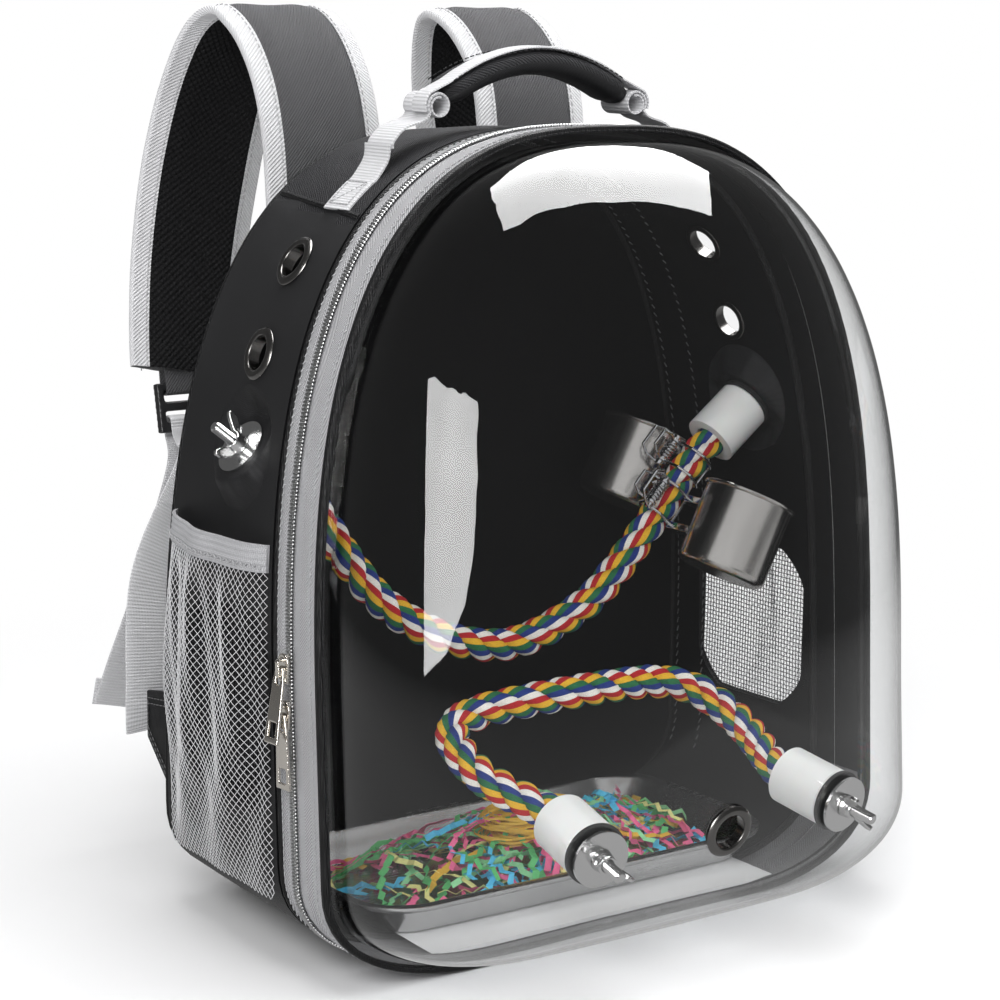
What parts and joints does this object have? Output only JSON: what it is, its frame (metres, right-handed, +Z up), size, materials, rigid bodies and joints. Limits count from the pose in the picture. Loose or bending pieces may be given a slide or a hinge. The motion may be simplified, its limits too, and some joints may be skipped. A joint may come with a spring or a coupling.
{
  "type": "pet carrier backpack",
  "caption": "Soft black pet travel backpack with a clear domed door on a zip, bright rope perches on bolts, steel cups on spring clips, a lift-out tray and padded straps.",
  "frame": {"origin": "Middle of the base, on the ground, halfway between the front rim and the rear seam", "axes": "X to the right seen from the front, Y to the back, Z up"},
  "size_m": [0.3666, 0.3727, 0.4522],
  "materials": {
    "black_fabric": "Heavy black woven polyester with a fine plain weave, slightly sheeny",
    "grey_twill": "Charcoal twill face over foam, with fine air mesh inside",
    "black_binding": "Black grosgrain binding and piping, soft sheen",
    "grey_tape": "Light grey herringbone zip tape, matt",
    "zip_metal": "Bright nickel-finished zip metal with soft wear",
    "clear_dome": "Clear thermoformed plastic sheet, glossy, faintly milky at the rim",
    "gunmetal": "Smooth dark nickel eyelets",
    "white_board": "White plastic board, satin",
    "grey_net": "Fine open knitted mesh, light grey",
    "grey_elastic": "Ribbed grey elastic, matt",
    "rope": "Thick twisted cotton rope in bright bands of white, red, mustard, green and navy",
    "white_caps": "Moulded matt white plastic",
    "black_rubber": "Soft black rubber washer",
    "zinc": "Bright zinc-plated steel",
    "cup_steel": "Polished stainless steel with fine turning lines and a bright rolled rim",
    "wire_chrome": "Bright plated spring wire",
    "tray_steel": "Thin bright pressed metal sheet, satin inside",
    "paper_strips": "Loose crinkled paper strips in pink, green, sky blue, pale yellow and mustard",
    "handle_black": "Padded black woven wrap with stitched edge",
    "grey_webbing": "Light grey ribbed webbing",
    "grey_binding": "Wide light grey woven binding, sewn edge",
    "black_plastic": "Moulded black acetal buckle"
  },
  "bodies": {
    "carrier": {"gusset": "black_fabric", "rear_panel": "black_fabric", "back_padding": "grey_twill", "rear_piping": "black_binding", "front_piping": "black_binding", "body_zip_tape": "grey_tape", "body_zip_teeth": "zip_metal", "hinge_strip": "grey_tape", "base_board": "white_board", "side_vent_rings": "gunmetal", "window_nets": "grey_net", "pocket_left": "grey_net", "pocket_right": "grey_net", "pocket_hem_left": "grey_elastic", "pocket_hem_right": "grey_elastic", "upper_rope": "rope", "upper_caps": "white_caps", "upper_rubber_rings": "black_rubber", "upper_bolts": "zinc", "upper_washers": "zinc", "cup_far": "cup_steel", "cup_near": "cup_steel", "clip_frame_far": "wire_chrome", "clip_frame_near": "wire_chrome", "clip_spring_far": "wire_chrome", "clip_spring_near": "wire_chrome", "handle_tabs": "grey_webbing", "shoulder_strap_left": "grey_twill", "shoulder_strap_right": "grey_twill", "strap_binding_left": "grey_binding", "strap_binding_right": "grey_binding", "ladder_locks": "black_plastic", "strap_webbing_left": "grey_webbing", "strap_webbing_right": "grey_webbing", "lower_anchors": "black_fabric"},
    "door": {"door_zip_tape": "grey_tape", "door_zip_teeth": "zip_metal", "flange_binding": "black_binding", "dome": "clear_dome", "dome_vent_ring": "gunmetal", "lower_rope": "rope", "lower_caps": "white_caps", "lower_rubber_rings": "black_rubber", "lower_bolts": "zinc", "lower_washers": "zinc"},
    "upper_nut_left": {"upper_wing_nut_left": "zinc"},
    "upper_nut_right": {"upper_wing_nut_right": "zinc"},
    "lower_nut_left": {"lower_wing_nut_left": "zinc"},
    "lower_nut_right": {"lower_wing_nut_right": "zinc"},
    "jaw_far": {"clip_jaw_far": "wire_chrome"},
    "jaw_near": {"clip_jaw_near": "wire_chrome"},
    "slider_upper": {"zip_slider_upper": "zip_metal"},
    "slider_lower": {"zip_slider_lower": "zip_metal"},
    "tab_upper": {"pull_tab_upper": "zip_metal"},
    "tab_lower": {"pull_tab_lower": "zip_metal"},
    "tray_unit": {"tray": "tray_steel", "paper_bedding": "paper_strips"},
    "handle": {"handle_pad": "handle_black", "handle_webbing": "grey_webbing"}
  },
  "joints": [
    {"name": "door_hinge", "type": "hinge", "parent": "carrier", "child": "door", "pos_m": [0, -0.058, 0.0015], "axis": [1, 0, 0], "range_deg": [0, 75]},
    {"name": "upper_nut_left_turn", "type": "hinge", "parent": "carrier", "child": "upper_nut_left", "pos_m": [-0.15828, 0.013, 0.245], "axis": [-0.788, 0, 0.6157], "continuous": true},
    {"name": "upper_nut_right_turn", "type": "hinge", "parent": "carrier", "child": "upper_nut_right", "pos_m": [0.15828, 0.013, 0.245], "axis": [0.788, 0, 0.6157], "continuous": true},
    {"name": "lower_nut_left_turn", "type": "hinge", "parent": "door", "child": "lower_nut_left", "pos_m": [-0.074, -0.16125, 0.0756], "axis": [-0.1214, -0.9767, -0.1772], "continuous": true},
    {"name": "lower_nut_right_turn", "type": "hinge", "parent": "door", "child": "lower_nut_right", "pos_m": [0.074, -0.16125, 0.0756], "axis": [0.1214, -0.9767, -0.1772], "continuous": true},
    {"name": "jaw_far_hinge", "type": "hinge", "parent": "carrier", "child": "jaw_far", "pos_m": [0.10692, 0.0195, 0.2192], "axis": [-0.7071, 0, -0.7071], "range_deg": [0, 22], "stiffness_Nm_per_rad": 0.02, "springref_deg": -11.46},
    {"name": "jaw_near_hinge", "type": "hinge", "parent": "carrier", "child": "jaw_near", "pos_m": [0.08986, 0.0065, 0.20032], "axis": [0.6691, 0, 0.7431], "range_deg": [0, 22], "stiffness_Nm_per_rad": 0.02, "springref_deg": -11.46},
    {"name": "slider_upper_slide", "type": "slide", "parent": "carrier", "child": "slider_upper", "axis": [0, 0.0558, 0.9984], "range_m": [0, 0.018]},
    {"name": "slider_lower_slide", "type": "slide", "parent": "carrier", "child": "slider_lower", "axis": [0, 0.0558, 0.9984], "range_m": [-0.06, 0]},
    {"name": "tab_upper_swing", "type": "hinge", "parent": "slider_upper", "child": "tab_upper", "pos_m": [-0.17443, -0.04945, 0.153], "axis": [0, 0.9984, -0.0558], "range_deg": [0, 100]},
    {"name": "tab_lower_swing", "type": "hinge", "parent": "slider_lower", "child": "tab_lower", "pos_m": [-0.17464, -0.05068, 0.131], "axis": [0, 0.9984, -0.0558], "range_deg": [0, 15]},
    {"name": "tray_lift", "type": "slide", "parent": "carrier", "child": "tray_unit", "axis": [0, 0, 1], "range_m": [0, 0.05]},
    {"name": "handle_fold", "type": "hinge", "parent": "carrier", "child": "handle", "pos_m": [0, 0.005, 0.384], "axis": [1, 0, 0], "range_deg": [-25, 25]}
  ]
}
